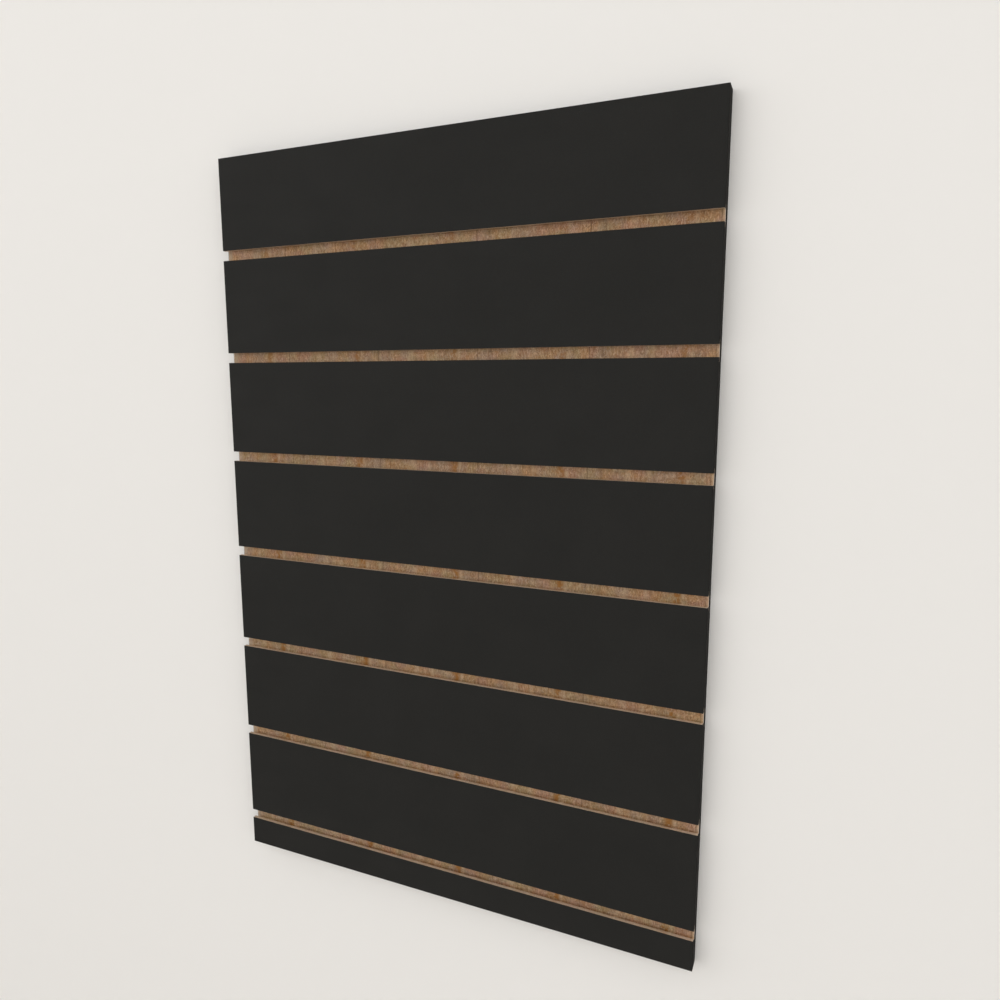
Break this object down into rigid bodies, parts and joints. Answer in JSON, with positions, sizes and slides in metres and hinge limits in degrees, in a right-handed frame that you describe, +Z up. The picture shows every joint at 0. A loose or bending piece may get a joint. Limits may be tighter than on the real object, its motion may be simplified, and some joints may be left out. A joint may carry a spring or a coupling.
{
  "type": "slatwall panel",
  "caption": "Wall-mounted slatwall display panel of black-faced particleboard, with T-slots across its front that take hooks and shelf brackets.",
  "frame": {"origin": "centre of the panel's back face, which lies on the wall", "axes": "+Z up, +Y into the wall, +X to the right of someone facing the panel; the front faces -Y"},
  "size_m": [0.6, 0.018, 0.9],
  "materials": {
    "particleboard": "raw, routed, speckled",
    "black_melamine": "matt, fine texture",
    "black_edge_tape": "matt",
    "zinc_plated_steel": "zinc plated"
  },
  "bodies": {
    "root": {"core_board": "particleboard", "front_laminate_1": "black_melamine", "front_laminate_2": "black_melamine", "front_laminate_3": "black_melamine", "front_laminate_4": "black_melamine", "front_laminate_5": "black_melamine", "front_laminate_6": "black_melamine", "front_laminate_7": "black_melamine", "front_laminate_8": "black_melamine", "back_laminate": "black_melamine", "top_edge_band": "black_edge_tape", "bottom_edge_band": "black_edge_tape", "left_edge_band": "black_edge_tape", "right_edge_band": "black_edge_tape", "hanger_plate_top_left": "zinc_plated_steel", "hanger_plate_top_right": "zinc_plated_steel", "hanger_plate_bottom_left": "zinc_plated_steel", "hanger_plate_bottom_right": "zinc_plated_steel", "hanger_screws": "zinc_plated_steel"}
  },
  "joints": []
}
